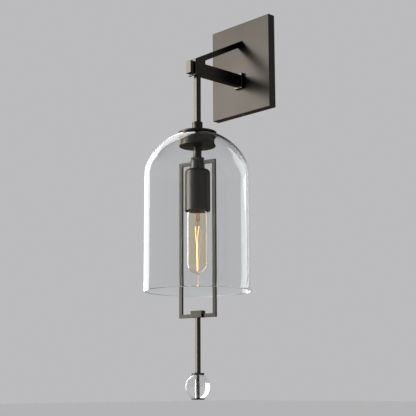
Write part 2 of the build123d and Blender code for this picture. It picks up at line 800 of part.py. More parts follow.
# Screw shell: thin brass sleeve that takes the lamp's cap.
with BuildPart() as screw_shell:
    with BuildSketch(level(shell_bottom)):
        Circle(shell_outer)
        Circle(shell_inner, mode=Mode.SUBTRACT)
    extrude(amount=holder_bore_top - shell_bottom)
    with BuildSketch(level(holder_bore_top)):
        Circle(shell_outer)
        Circle(shell_roof_hole, mode=Mode.SUBTRACT)
    extrude(amount=-contact_thick)

# Centre contact: sprung brass tongue above the lamp's tip.
with BuildPart() as centre_contact:
    with BuildSketch(Plane(origin=(0, axis_y, 0), x_dir=(1, 0, 0), z_dir=(0, -1, 0))):
        with BuildLine():
            Polyline(
                (-contact_reach, holder_bore_top),
                (-contact_reach / 3, holder_bore_top),
                (-contact_reach / 6, holder_bore_top - contact_stand + contact_thick),
                (contact_reach / 3, holder_bore_top - contact_stand + contact_thick),
                (contact_reach / 3, holder_bore_top - contact_stand),
                (-contact_reach / 4, holder_bore_top - contact_stand),
                (-contact_reach / 2.4, holder_bore_top - contact_thick),
                (-contact_reach, holder_bore_top - contact_thick),
                close=True,
            )
        make_face()
    extrude(amount=contact_width / 2, both=True)

# Terminal screws: brass, in the floor of the well.
with BuildPart() as terminal_screws:
    with BuildSketch(level(well_floor)):
        with Locations((terminal_offset, 0), (-terminal_offset, 0)):
            Circle(terminal_head_radius)
    extrude(amount=terminal_head_thick)
    with BuildSketch(level(well_floor)):
        with Locations((terminal_offset, 0), (-terminal_offset, 0)):
            Circle(terminal_screw_radius)
    extrude(amount=0.3 - terminal_screw_length)

# -------------------------------------------------------------------- lamp
shell_lip = lamp_top - lamp_contact_height - lamp_crown_height
cap_end = shell_lip - lamp_shell_length
lamp_neck_end = cap_end - lamp_neck_length
lamp_mount_bottom = cap_end - lamp_mount_length
lead_bottom = lamp_mount_bottom - lead_length
filament_bottom = lead_bottom - filament_length
# Lamp contact: solder button on the very top of the cap.
with BuildPart() as lamp_contact:
    with BuildSketch(level(lamp_top - lamp_contact_height)):
        Circle(lamp_contact_radius)
    extrude(amount=lamp_contact_height)
    fillet(lamp_contact.faces().sort_by(Axis.Z)[-1].edges(), 0.6)

# Lamp insulator: dark glass cone between the button and the shell.
with BuildPart() as lamp_insulator:
    with BuildSketch(level(shell_lip)):
        Circle(lamp_crown_radius)
    with BuildSketch(level(lamp_top - lamp_contact_height)):
        Circle(lamp_contact_radius + 0.8)
    loft()

# Lamp shell: thin brass screw cap.
with BuildPart() as lamp_shell:
    with BuildSketch(level(cap_end)):
        Circle(lamp_shell_radius)
        Circle(lamp_shell_radius - lamp_shell_wall, mode=Mode.SUBTRACT)
    extrude(amount=lamp_shell_length)
    with BuildSketch(level(shell_lip)):
        Circle(lamp_shell_radius)
    extrude(amount=-lamp_shell_wall)

# Lamp glass: neck inside the shell, tubular bulb, round end.
tube_end = lamp_tip + lamp_glass_radius
neck_top = cap_end + lamp_neck_inside
with BuildPart() as lamp_glass:
    with BuildSketch(profile_plane):
        with BuildLine():
            Line((0, lamp_tip), (0, lamp_tip + lamp_glass_wall))
            ThreePointArc(
                (0, lamp_tip + lamp_glass_wall),
                ((lamp_glass_radius - lamp_glass_wall) * sin(radians(45)),
                 tube_end - (lamp_glass_radius - lamp_glass_wall) * cos(radians(45))),
                (lamp_glass_radius - lamp_glass_wall, tube_end),
            )
            Line((lamp_glass_radius - lamp_glass_wall, tube_end),
                 (lamp_glass_radius - lamp_glass_wall, lamp_neck_end))
            Spline(
                (lamp_glass_radius - lamp_glass_wall, lamp_neck_end),
                (lamp_neck_radius - lamp_glass_wall, cap_end - 1.0),
                tangents=((0, 1), (0, 1)),
            )
            Line((lamp_neck_radius - lamp_glass_wall, cap_end - 1.0),
                 (lamp_neck_radius - lamp_glass_wall, neck_top))
            Line((lamp_neck_radius - lamp_glass_wall, neck_top), (lamp_neck_radius, neck_top))
            Line((lamp_neck_radius, neck_top), (lamp_neck_radius, cap_end - 1.0))
            Spline(
                (lamp_neck_radius, cap_end - 1.0),
                (lamp_glass_radius, lamp_neck_end),
                tangents=((0, -1), (0, -1)),
            )
            Line((lamp_glass_radius, lamp_neck_end), (lamp_glass_radius, tube_end))
            ThreePointArc(
                (lamp_glass_radius, tube_end),
                (lamp_glass_radius * sin(radians(45)),
                 tube_end - lamp_glass_radius * cos(radians(45))),
                (0, lamp_tip),
            )
        make_face()
    revolve(axis=pendant_axis)

# Lamp mount: glass stem, flared where it is sealed to the neck.
with BuildPart() as lamp_mount:
    with BuildSketch(profile_plane):
        with BuildLine():
            Polyline(
                (0, neck_top - 1.0),
                (lamp_neck_radius - lamp_glass_wall - 0.05, neck_top - 1.0),
                (lamp_neck_radius - lamp_glass_wall - 0.05, neck_top - 2.2),
                (lamp_mount_radius, neck_top - lamp_flare_height),
                (lamp_mount_radius, lamp_mount_bottom),
                (support_rod_radius, lamp_mount_bottom - 3.0),
                (support_rod_radius, filament_bottom + support_rod_short),
                (0, filament_bottom + support_rod_short),
                close=True,
            )
        make_face()
    revolve(axis=pendant_axis)

# Lead wires: from the glass stem out to the filament's ends.
with BuildPart() as lead_wires:
    for side in (1, -1):
        with BuildLine(profile_plane) as lead_path:
            FilletPolyline(
                (side * (lamp_mount_radius + 0.05), lamp_mount_bottom + 2.0),
                (side * lead_offset, lamp_mount_bottom + 2.0),
                (side * lead_offset, lead_bottom),
                radius=1.0,
            )
        with BuildSketch(Plane(origin=lead_path.line @ 0, z_dir=lead_path.line % 0)):
            Circle(lead_radius)
        sweep(path=lead_path.line)

# Filament: one long hairpin.
with BuildPart() as filament:
    with BuildLine(profile_plane) as hairpin:
        l1 = Line((-filament_offset, lead_bottom - 0.05), (-filament_offset, filament_bottom + filament_offset))
        l2 = ThreePointArc(
            (-filament_offset, filament_bottom + filament_offset),
            (0, filament_bottom),
            (filament_offset, filament_bottom + filament_offset),
        )
        l3 = Line((filament_offset, filament_bottom + filament_offset), (filament_offset, lead_bottom - 0.05))
    with BuildSketch(Plane(origin=hairpin.line @ 0, z_dir=hairpin.line % 0)):
        Circle(filament_radius)
    sweep(path=hairpin.line)

# Supports: fine wires from the glass rod towards the filament's legs.
with BuildPart() as filament_supports:
    for step in range(support_count):
        height = lead_bottom - support_first - step * support_pitch
        for side in (1, -1):
            with BuildSketch(Plane(origin=(side * (support_rod_radius + 0.05), axis_y, height),
                                   z_dir=(side, 0, 0))):
                Circle(support_wire_radius)
            extrude(amount=filament_offset - filament_radius - support_rod_radius - 0.1)

# ------------------------------------------------------------------ wiring
terminal_level = well_floor + terminal_head_thick + wire_radius + 0.05

# Line wire: from its terminal up the stem, along the arm, into the pan and
# round into its connector.
with BuildPart() as line_wire:
    with BuildLine() as wire_route:
        FilletPolyline(
            (-terminal_offset - 1.5, axis_y, terminal_level),
            (-wire_offset, axis_y, terminal_level),
            (-wire_offset, axis_y, bar_level),
            (-wire_offset, -wire_back_depth, bar_level),
            (-wire_nut_across, -wire_nut_depth, bar_level),
            (-wire_nut_across, -wire_nut_depth, wire_nut_mouth + wire_nut_grip),
            radius=line_wire_bends,
        )
    with BuildSketch(Plane(origin=wire_route.line @ 0, z_dir=wire_route.line % 0)):
        Circle(wire_radius)
    sweep(path=wire_route.line)

# Neutral wire: the same way on the other side.
with BuildPart() as neutral_wire:
    mirror(line_wire.part, about=Plane.YZ)

# Ground wire: from the ground screw's head to its own connector.
with BuildPart() as ground_wire:
    with BuildLine() as ground_route:
        FilletPolyline(
            (-ground_head_radius - 0.4, -strap_thick - wire_radius - 0.1, ground_screw_height),
            (-strap_width / 2 - ground_wire_clear, -strap_thick - wire_radius - 0.1,
             ground_screw_height + ground_wire_first_rise),
            (-ground_nut_across, -wire_nut_depth, ground_screw_height + ground_wire_rise),
            (-ground_nut_across, -wire_nut_depth, ground_screw_height - ground_wire_rise),
            radius=ground_wire_bends,
        )
    with BuildSketch(Plane(origin=ground_route.line @ 0, z_dir=ground_route.line % 0)):
        Circle(wire_radius)
    sweep(path=ground_route.line)

# Wire connectors: tapered caps over the wires' ends.
with BuildPart() as wire_nuts:
    for across, mouth, way in ((wire_nut_across, wire_nut_mouth, 1),
                               (-wire_nut_across, wire_nut_mouth, 1),
                               (-ground_nut_across, ground_screw_height - ground_nut_drop, -1)):
        nut_plane = Plane(origin=(across, -wire_nut_depth, mouth), z_dir=(0, 0, way))
        with BuildSketch(nut_plane):
            Circle(wire_nut_radius)
        with BuildSketch(nut_plane.offset(wire_nut_length)):
            Circle(wire_nut_tip_radius)
        loft()
        with BuildSketch(nut_plane):
            Circle(wire_radius + thread_gap)
        extrude(amount=wire_nut_grip + 2.0, mode=Mode.SUBTRACT)

# ------------------------------------------------------------------ export
os.makedirs("parts", exist_ok=True)
parts = {
    "backplate": backplate, "wall_strap": wall_strap, "set_screws": set_screws,
    "ground_screw": ground_screw, "arm_bar": arm_bar, "brace": brace,
    "brace_screw": brace_screw, "front_collar": front_collar,
    "plate_collar": plate_collar, "arm_nipple": arm_nipple, "arm_washer": arm_washer,
    "arm_nut": arm_nut, "stem": stem, "coupler": coupler, "main_nipple": main_nipple,
    "cap": cap, "upper_gasket": upper_gasket, "lower_gasket": lower_gasket,
    "shade": shade, "clamp_ring": clamp_ring, "shade_nut": shade_nut, "sleeve": sleeve,
    "lock_nut": lock_nut, "hub": hub, "top_bars": top_bars, "side_bars": side_bars,
    "bottom_bars": bottom_bars, "foot_block": foot_block, "drop_rod": drop_rod,
    "ball_cap": ball_cap, "crystal_ball": crystal_ball, "end_disc": end_disc,
    "socket_cup": socket_cup, "socket_nut": socket_nut, "bridge": bridge,
    "bridge_screws": bridge_screws, "lampholder": lampholder, "screw_shell": screw_shell,
    "centre_contact": centre_contact, "terminal_screws": terminal_screws,
    "lamp_contact": lamp_contact, "lamp_insulator": lamp_insulator,
    "lamp_shell": lamp_shell, "lamp_glass": lamp_glass, "lamp_mount": lamp_mount,
    "lead_wires": lead_wires, "filament": filament, "filament_supports": filament_supports,
    "line_wire": line_wire, "neutral_wire": neutral_wire, "ground_wire": ground_wire,
    "wire_nuts": wire_nuts,
}
for name, piece in parts.items():
    piece.part.label = name
    export_step(piece.part, f"parts/{name}.step")
print(len(parts), "parts")
print("line wire", round(wire_route.wire().length, 1), "mm, volume", round(line_wire.part.volume, 1))
print("ground wire", round(ground_route.wire().length, 1), "mm, volume", round(ground_wire.part.volume, 1))
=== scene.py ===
from math import asin, atan2, cos, degrees, pi, radians, sin, sqrt
import bpy
from mathutils import Matrix, Vector


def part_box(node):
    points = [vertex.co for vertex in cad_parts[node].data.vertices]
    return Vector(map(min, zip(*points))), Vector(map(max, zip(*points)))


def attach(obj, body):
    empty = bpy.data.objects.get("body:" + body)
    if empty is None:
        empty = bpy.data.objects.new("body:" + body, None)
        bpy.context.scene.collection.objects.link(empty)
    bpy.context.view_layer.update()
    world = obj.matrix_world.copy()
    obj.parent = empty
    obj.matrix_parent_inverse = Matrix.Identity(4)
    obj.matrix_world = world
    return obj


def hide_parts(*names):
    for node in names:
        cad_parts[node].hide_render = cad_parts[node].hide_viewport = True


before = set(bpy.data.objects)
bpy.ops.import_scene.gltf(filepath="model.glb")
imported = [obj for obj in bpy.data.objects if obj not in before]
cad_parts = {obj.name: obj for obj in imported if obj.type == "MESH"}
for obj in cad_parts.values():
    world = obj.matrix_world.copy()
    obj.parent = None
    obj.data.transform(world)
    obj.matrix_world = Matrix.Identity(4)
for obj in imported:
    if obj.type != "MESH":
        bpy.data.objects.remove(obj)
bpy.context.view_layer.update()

# %% [markdown]
# The object is a wall sconce. Its solids come from the CAD model, in metres,
# with the wall at Y = 0, the room towards -Y and Z up. Everything round that
# hangs from the arm stands on one upright line, the pendant's axis. The axis
# is read from the stem's solid, so that every turned piece uses one place.

# %% The pendant's axis
mm = 0.001
stem_low, stem_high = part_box("stem")
axis_x = (stem_low.x + stem_high.x) / 2
axis_y = (stem_low.y + stem_high.y) / 2
print("axis at", round(axis_x, 4), round(axis_y, 4))

# %% [markdown]
# The camera stands to the right and a little below the lamp and looks up at
# it. Its place was solved from the corners of the plate and the rim of the
# glass. An azimuth of 0 is straight in front of the wall, and a positive one
# lies to the right of it.

# %% Camera
image_side = 416
focal_pixels = 995.6
camera_azimuth = radians(46.56)
camera_elevation = radians(-10.24)
camera_roll = radians(-0.243)
camera_distance = 1.682
aim_right = -0.0650
aim_up = -0.2320

back = Vector((sin(camera_azimuth) * cos(camera_elevation),
               -cos(camera_azimuth) * cos(camera_elevation),
               sin(camera_elevation)))
right = Vector((0, 0, 1)).cross(back).normalized()
up = back.cross(right)
place = back * camera_distance + right * aim_right + up * aim_up
roll = Matrix.Rotation(camera_roll, 3, back)
right, up = roll @ right, roll @ up

film_width = 36
camera_data = bpy.data.cameras.new("camera")
camera_data.sensor_width = film_width
camera_data.lens = focal_pixels * film_width / image_side
camera = bpy.data.objects.new("camera", camera_data)
bpy.context.scene.collection.objects.link(camera)
camera.matrix_world = Matrix.Translation(place) @ Matrix((right, up, back)).transposed().to_4x4()
bpy.context.scene.camera = camera
print("camera at", [round(v, 3) for v in place], "lens", round(camera_data.lens, 1), "mm")

# %% [markdown]
# A small kit for materials, lamps and the world. One class wraps a socket and
# turns + - * into Math nodes, and one method adds any other node, so that a
# finish reads like a formula.


# %% Shader kit
class Value:
    """A number, colour or vector that travels along a link."""

    def __init__(self, kit, socket):
        self.kit = kit
        self.socket = socket

    def math(self, operation, other, swap=False):
        pair = (other, self) if swap else (self, other)
        return self.kit.node("ShaderNodeMath", {"operation": operation}, {0: pair[0], 1: pair[1]})

    def __add__(self, other):
        return self.math("ADD", other)

    def __radd__(self, other):
        return self.math("ADD", other, swap=True)

    def __sub__(self, other):
        return self.math("SUBTRACT", other)

    def __rsub__(self, other):
        return self.math("SUBTRACT", other, swap=True)

    def __mul__(self, other):
        return self.math("MULTIPLY", other)

    def __rmul__(self, other):
        return self.math("MULTIPLY", other, swap=True)


class Kit:
    """A node tree that is built one node at a time."""

    def __init__(self, tree):
        self.tree = tree

    def node(self, kind, settings=None, sockets=None, out=0):
        made = self.tree.nodes.new(kind)
        for key, value in (settings or {}).items():
            setattr(made, key, value)
        for key, value in (sockets or {}).items():
            if isinstance(value, Value):
                self.tree.links.new(value.socket, made.inputs[key])
            else:
                made.inputs[key].default_value = value
        return Value(self, made.outputs[out])

    def ray(self, question):
        """What the ray that asks for a colour is, or how often it has bounced."""
        return self.node("ShaderNodeLightPath", out=question)

    def between(self, low, high, factor):
        """A mix of two colours, where the low one may also come along a link."""
        start = low if isinstance(low, Value) else (*low, 1)
        return self.node("ShaderNodeMix", {"data_type": "RGBA"},
                         {"Factor": factor, "A": start, "B": (*high, 1)}, out="Result")

    def feed(self, value, node, socket):
        self.tree.links.new(value.socket, node.inputs[socket])


class Finish(Kit):
    """A material that is built node by node."""

    def __init__(self, name):
        self.material = bpy.data.materials.new(name)
        self.material.use_nodes = True
        super().__init__(self.material.node_tree)
        self.tree.nodes.clear()
        self.output = self.tree.nodes.new("ShaderNodeOutputMaterial")

    def points(self, scale=(1, 1, 1)):
        place = self.node("ShaderNodeTexCoord", out="Object")
        return self.node("ShaderNodeMapping", None, {"Vector": place, "Scale": scale})

    def noise(self, points, scale, detail=2.0, roughness=0.5):
        return self.node("ShaderNodeTexNoise", None,
                         {"Vector": points, "Scale": scale, "Detail": detail, "Roughness": roughness})

    def edge_wear_and_sheen(self, radius):
        """A rounded edge for the light to catch, and a mask that is 1 along the edges."""
        rounded = self.node("ShaderNodeBevel", {"samples": 6}, {"Radius": radius})
        flat = self.node("ShaderNodeNewGeometry", out="True Normal")
        turn = self.node("ShaderNodeVectorMath", {"operation": "DOT_PRODUCT"},
                         {0: rounded, 1: flat}, out="Value")
        mask = self.node("ShaderNodeMath", {"operation": "MULTIPLY", "use_clamp": True},
                         {0: 0.97 - turn, 1: 9.0})
        return rounded, mask

    def bump(self, height, strength, distance, normal=None):
        sockets = {"Height": height, "Strength": strength, "Distance": distance}
        if normal is not None:
            sockets["Normal"] = normal
        return self.node("ShaderNodeBump", None, sockets)

    def covered(self, shader):
        self.feed(shader, self.output, "Surface")
        return self.material

    def surface(self, **sockets):
        names = {key.replace("_", " "): value for key, value in sockets.items()}
        return self.covered(self.node("ShaderNodeBsdfPrincipled", None, names))


print("shader kit ready")

# %% [markdown]
# The metal is one finish all over: steel with a dark, warm bronze patina,
# brushed by hand. Long thin noise gives the brush lines, slower noise the
# cloudy patina, and both move the roughness, so that highlights break up. A
# still slower drift makes one piece a little darker than the next. The edges
# are painted paler: partly real wear, partly a painted highlight where edges
# catch the light. The relief is how deep the drawn grain seems to be.


# %% Dark bronze
bronze_dark = (0.038, 0.0345, 0.0305)
bronze_pale = (0.074, 0.0670, 0.0590)
# Paler edge colour: partly real wear, partly a painted highlight along the edges.
bronze_edge_wear_and_sheen = (0.20, 0.175, 0.145)
edge_wear_and_sheen_width = 0.5 * mm
grain_relief = 0.2 * mm


def dark_bronze(name, brush):
    finish = Finish(name)
    lines = finish.noise(finish.points(brush), 900, detail=3)
    clouds = finish.noise(finish.points(), 22, detail=4, roughness=0.6)
    specks = finish.noise(finish.points(), 420, detail=2)
    drift = finish.noise(finish.points(), 8, detail=2)
    tone = clouds * 0.45 + lines * 0.25 + drift * 0.75 - 0.22
    patina = finish.between(bronze_dark, bronze_pale, tone)
    rounded, wear_and_sheen = finish.edge_wear_and_sheen(edge_wear_and_sheen_width)
    # Edges get the paler colour: real wear plus a painted highlight where edges catch light.
    colour = finish.between(patina, bronze_edge_wear_and_sheen, wear_and_sheen * (0.25 + clouds * 0.6))
    rough = 0.22 + clouds * 0.09 + lines * 0.09 - wear_and_sheen * 0.06
    normal = finish.bump(lines * 0.7 + specks * 0.3, 0.25, grain_relief, rounded)
    return finish.surface(Base_Color=colour, Metallic=1.0, Roughness=rough, Normal=normal,
                          Specular_Tint=(0.42, 0.40, 0.37, 1))


# The brush runs up and down on bars and plates, and round on turned pieces.
bronze_upright = dark_bronze("bronze_upright", (1.0, 1.0, 0.04))
bronze_round = dark_bronze("bronze_round", (0.06, 0.06, 1.0))
print("bronze finishes made")

# %% [markdown]
# Hidden steel is zinc plated, the electrical metal is brass, and the lamp's
# wires are dull copper. Each gets patches of two near colours, which also
# roughen it unevenly, as plating that has been handled is uneven.


# %% Small metals
def small_metal(name, low, high, rough, grain=160):
    finish = Finish(name)
    patches = finish.noise(finish.points(), grain, detail=3)
    colour = finish.between(low, high, patches)
    normal = finish.bump(patches, 0.15, grain_relief)
    return finish.surface(Base_Color=colour, Metallic=1.0, Roughness=rough + patches * 0.12, Normal=normal)


zinc = small_metal("zinc", (0.42, 0.43, 0.44), (0.60, 0.60, 0.58), 0.28)
brass = small_metal("brass", (0.55, 0.36, 0.14), (0.74, 0.52, 0.24), 0.25)
solder = small_metal("solder", (0.38, 0.38, 0.40), (0.55, 0.55, 0.56), 0.35)
copper = small_metal("copper", (0.20, 0.10, 0.06), (0.30, 0.16, 0.10), 0.45)
green_screw = small_metal("green_screw", (0.03, 0.14, 0.05), (0.05, 0.22, 0.08), 0.35)
print("small metals made")

# %% [markdown]
# Wires, connectors, gaskets and the lampholder are dull skins: rubber and
# plastic with hardly any shine, and porcelain under a clear glaze, which is
# the coat here.


# %% Plastics, rubber and porcelain
def dull_skin(name, low, high, rough, grain=240, coat=0.0):
    finish = Finish(name)
    patches = finish.noise(finish.points(), grain, detail=3)
    colour = finish.between(low, high, patches)
    normal = finish.bump(patches, 0.12, grain_relief)
    return finish.surface(Base_Color=colour, Roughness=rough + patches * 0.10, Normal=normal,
                          Coat_Weight=coat)


rubber = dull_skin("rubber", (0.010, 0.010, 0.010), (0.022, 0.022, 0.022), 0.62)
black_wire = dull_skin("black_wire", (0.012, 0.012, 0.013), (0.030, 0.030, 0.032), 0.42)
white_wire = dull_skin("white_wire", (0.62, 0.61, 0.57), (0.74, 0.73, 0.69), 0.42)
green_wire = dull_skin("green_wire", (0.015, 0.10, 0.030), (0.030, 0.17, 0.050), 0.42)
orange_plastic = dull_skin("orange_plastic", (0.52, 0.14, 0.020), (0.66, 0.20, 0.035), 0.40)
porcelain = dull_skin("porcelain", (0.70, 0.68, 0.62), (0.80, 0.79, 0.74), 0.22, grain=60, coat=0.6)
black_glass = dull_skin("black_glass", (0.004, 0.004, 0.005), (0.010, 0.010, 0.012), 0.10, coat=0.5)
print("dull finishes made")


# %% [markdown]
# Four kinds of glass. Blown glass is never quite even, so a slow and very
# low bump bends the reflections a little. The lamp's glass has a light amber
# tint; its inner stem is tinted red, a painted reflection of the hot filament;
# and the crystal is clearer and bends light more. Cycles lets no direct
# light through a bending surface, which would leave the metal inside the dome
# dull, so a shadow ray, and a ray that leaves shining metal, find a plain
# see-through surface instead.


# %% Glass
def glass(name, tint, ior, wave, wave_height):
    finish = Finish(name)
    ripples = finish.noise(finish.points((1, 1, 0.35)), wave, detail=1)
    colour = finish.between(tint, tuple(min(1.0, part * 1.02) for part in tint), ripples)
    normal = finish.bump(ripples, 0.10, wave_height)
    bending = finish.node("ShaderNodeBsdfPrincipled", None,
                          {"Base Color": colour, "Roughness": 0.0, "IOR": ior,
                           "Transmission Weight": 1.0, "Normal": normal})
    see_through = finish.node("ShaderNodeBsdfTransparent", None, {"Color": (*tint, 1)})
    from_metal = finish.ray("Is Glossy Ray") * (1 - finish.ray("Is Transmission Ray"))
    straight = finish.ray("Is Shadow Ray") + from_metal
    mixed = finish.node("ShaderNodeMixShader", None, {0: straight, 1: bending, 2: see_through})
    return finish.covered(mixed)


clear_glass = glass("clear_glass", (0.955, 0.965, 0.965), 1.47, 14, 2.0 * mm)
amber_glass = glass("amber_glass", (1.0, 0.94, 0.84), 1.45, 30, 0.6 * mm)
crystal = glass("crystal", (0.98, 0.98, 0.98), 1.54, 20, 0.2 * mm)
# The stem's red tint is a painted reflection of the glowing filament.
stem_glass_painted_reflection = glass("stem_glass_painted_reflection", (0.92, 0.62, 0.50), 1.50, 90, 1.0 * mm)
print("glass finishes made")

# %% [markdown]
# The filament is a thin tungsten or carbon wire that glows orange, a little
# uneven along its length. It is the only piece that gives light.

# %% Glowing filament
glow = Finish("glow")
heat = glow.noise(glow.points(), 180, detail=2)
ember = glow.between((1.0, 0.38, 0.12), (1.0, 0.58, 0.26), heat)
glow_material = glow.surface(Base_Color=ember, Roughness=0.5, Emission_Color=ember, Emission_Strength=4.0)
print("glow made")

# %% [markdown]
# The CAD solids whose shape is already right keep their place and only get
# a finish. The others are made again further down, each by its own step.


# %% Finishes for the CAD solids
def dress(material, *nodes):
    for name in nodes:
        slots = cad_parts[name].data.materials
        slots.clear()
        slots.append(material)


dress(bronze_upright, "backplate", "arm_bar", "brace", "front_collar", "plate_collar", "stem",
      "side_bars", "top_bars", "bottom_bars", "foot_block", "drop_rod")
dress(bronze_round, "lock_nut", "ball_cap", "end_disc")
dress(zinc, "wall_strap", "set_screws", "brace_screw", "arm_nipple", "arm_washer", "arm_nut",
      "main_nipple", "socket_nut", "bridge", "bridge_screws")
dress(brass, "screw_shell", "centre_contact", "terminal_screws", "lamp_shell")
dress(stem_glass_painted_reflection, "lamp_mount")
dress(rubber, "upper_gasket", "lower_gasket")
dress(porcelain, "lampholder")
dress(black_glass, "lamp_insulator")
dress(solder, "lamp_contact")
dress(black_wire, "line_wire")
dress(white_wire, "neutral_wire")
dress(green_wire, "ground_wire")
dress(orange_plastic, "wire_nuts")
dress(green_screw, "ground_screw")
print("solids dressed")

# %% [markdown]
# Round pieces are turned. A circle is added at the first ring, and each next
# ring is extruded from the last one and resized, as a turner would move along
# the work. Where the last ring meets the first one, the two are merged, so a
# wall with an inside and an outside closes on itself.


# %% Turning helper
def pick(*pieces):
    """Select these pieces alone; the first one is the active one."""
    bpy.ops.object.select_all(action="DESELECT")
    for piece in pieces:
        piece.select_set(True)
    bpy.context.view_layer.objects.active = pieces[0]


def settle(piece, smooth_angle):
    """Leave the piece at the origin, unturned and unscaled, with smooth faces."""
    pick(piece)
    bpy.ops.object.transform_apply(location=True, rotation=True, scale=True)
    bpy.ops.object.shade_smooth_by_angle(angle=radians(smooth_angle))


same_point = 0.004 * mm


def turned(name, rings, sides=96, smooth_angle=40, closed_end=False):
    """Turn a piece round the pendant's axis from (radius, level) rings.

    With closed_end, the last ring is drawn together into one point."""
    bpy.ops.object.select_all(action="DESELECT")
    first_radius, level = rings[0]
    bpy.ops.mesh.primitive_circle_add(vertices=sides, radius=first_radius, location=(axis_x, axis_y, level))
    piece = bpy.context.object
    piece.name = name
    pick(piece)
    bpy.ops.object.mode_set(mode="EDIT")
    bpy.ops.mesh.select_all(action="SELECT")
    radius = first_radius
    for next_radius, next_level in rings[1:]:
        bpy.ops.mesh.extrude_region_move(TRANSFORM_OT_translate={"value": (0, 0, next_level - level)})
        bpy.ops.transform.resize(value=(next_radius / radius, next_radius / radius, 1),
                                 center_override=(axis_x, axis_y, next_level))
        radius, level = next_radius, next_level
    if closed_end:
        bpy.ops.mesh.merge(type="CENTER")
    bpy.ops.mesh.select_all(action="SELECT")
    bpy.ops.mesh.remove_doubles(threshold=same_point)
    bpy.ops.mesh.normals_make_consistent(inside=False)
    bpy.ops.object.mode_set(mode="OBJECT")
    settle(piece, smooth_angle)
    print(name, len(piece.data.polygons), "faces")
    return piece


def arc(centre_radius, centre_level, radius, start, end, steps):
    """Rings along an arc, from one angle to another, in degrees above level."""
    angles = [radians(start + (end - start) * step / steps) for step in range(steps + 1)]
    return [(centre_radius + radius * cos(angle), centre_level + radius * sin(angle)) for angle in angles]


def finish_piece(piece, body, node, material):
    """Give a new piece its finish and its body, and hide the CAD node that it stands for."""
    piece.data.materials.append(material)
    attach(piece, body)
    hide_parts(node)


def top_and_bottom(node):
    low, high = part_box(node)
    return high.z, low.z


print("helpers ready")

# %% [markdown]
# The glass shade is a blown dome: a flat ground seat under the cap, a crown,
# a tighter shoulder, a straight side and a rim that was melted round in the
# flame. The CAD solid is cut into flat facets, which show in reflections, so
# the dome is turned again here, with the same sizes, from smooth rings. The
# wall's inside and outside share the arcs' centres and differ by the wall.

# %% Dome's sizes
shade_low, shade_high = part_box("shade")
dome_top, dome_rim = top_and_bottom("shade")
dome_radius = (shade_high.x - shade_low.x) / 2
wall = 3.0 * mm
hole_radius = 21.0 * mm
seat_radius = 30.5 * mm
crown_radius = dome_radius + 3.0 * mm
shoulder_radius = 48.5 * mm
crown_level = dome_top - sqrt(crown_radius ** 2 - seat_radius ** 2)
shoulder_out = dome_radius - shoulder_radius
shoulder_level = crown_level + sqrt((crown_radius - shoulder_radius) ** 2 - shoulder_out ** 2)
join = degrees(atan2(shoulder_level - crown_level, shoulder_out))
print("crown and shoulder meet", round(join, 1), "degrees above level")

# %% [markdown]
# Where the crown's arc meets the shoulder's, and the shoulder meets the side,
# a gather of hot glass has no sudden change of curve. So the rings of both
# bends are eased: each one moves towards its neighbours, many small times.


# %% Glass dome
def crown_angle(radius, level):
    return degrees(asin((level - crown_level) / radius))


easing_passes = 24
crown_steps = 40
shoulder_steps = 30


def eased(rings):
    """Draw each ring towards its two neighbours, many times over a little."""
    for _ in range(easing_passes):
        inner = [tuple((before[part] + 2 * ring[part] + after[part]) / 4 for part in (0, 1))
                 for before, ring, after in zip(rings, rings[1:], rings[2:])]
        rings = [rings[0]] + inner + [rings[-1]]
    return rings


fine_drops = [step * 1.5 * mm for step in range(1, 13)]
outer_bend = arc(0, crown_level, crown_radius, crown_angle(crown_radius, dome_top), join, crown_steps)
outer_bend += arc(shoulder_out, shoulder_level, shoulder_radius, join, 0, shoulder_steps)[1:]
outer_bend += [(dome_radius, shoulder_level - drop) for drop in fine_drops]
outside = [(hole_radius, dome_top)] + eased(outer_bend)

rim_level = dome_rim + wall / 2
side_top = shoulder_level - fine_drops[-1]
side = [(dome_radius, side_top + (rim_level - side_top) * step / 8) for step in range(1, 9)]
rim = arc(dome_radius - wall / 2, rim_level, wall / 2, 0, -180, 8)[1:]
inside = [(dome_radius - wall, level) for _, level in reversed(side)][1:]

inner_bend = [(dome_radius - wall, shoulder_level - drop) for drop in reversed(fine_drops)]
inner_bend += arc(shoulder_out, shoulder_level, shoulder_radius - wall, 0, join, shoulder_steps)
inner_bend += arc(0, crown_level, crown_radius - wall, join,
                  crown_angle(crown_radius - wall, dome_top - wall), crown_steps)[1:]
inside += eased(inner_bend)
ground_edge = [(hole_radius, dome_top - wall), (hole_radius, dome_top)]
dome = turned("glass_dome", outside + side + rim + inside + ground_edge, sides=180)
finish_piece(dome, "fixture", "shade", clear_glass)
print("dome", round(dome_radius, 4), "radius, rim at", round(dome_rim, 4))

# %% [markdown]
# Round the hole, rubber gaskets press on the glass from above and below. Where
# rubber touches glass, light is swallowed instead of mirrored inside the wall,
# so the seat looks black from every side. The faces under the gaskets are
# found by their distance from the axis and get the rubber's finish.

# %% Seat under the gaskets
gasket_radius = 27.0 * mm
squeeze = 0.3 * mm
dome.data.materials.append(rubber)
seat_faces = 0
for face in dome.data.polygons:
    if Vector((face.center.x - axis_x, face.center.y - axis_y)).length < gasket_radius + squeeze:
        face.material_index = 1
        seat_faces += 1
print("seat faces", seat_faces)

# %% [markdown]
# Under the stem comes a row of turned metal pieces on one threaded tube: a
# coupler with a ring cut near its top, the cap over the glass, and under the
# glass a clamp ring and a nut that together make a small drum. Fine grooves
# run round the drum, so that fingers find a hold. Each one is turned from its
# own rings, with a small round or slant on its edges, because such an edge
# catches a line of light that a sharp one can't.

# %% Collars and the coupler
bore = 5.05 * mm
edge = 0.5 * mm


def ring_groove(radius, level, depth, half):
    """Three rings that cut a small V into a round face."""
    return [(radius, level - half), (radius - depth, level), (radius, level + half)]


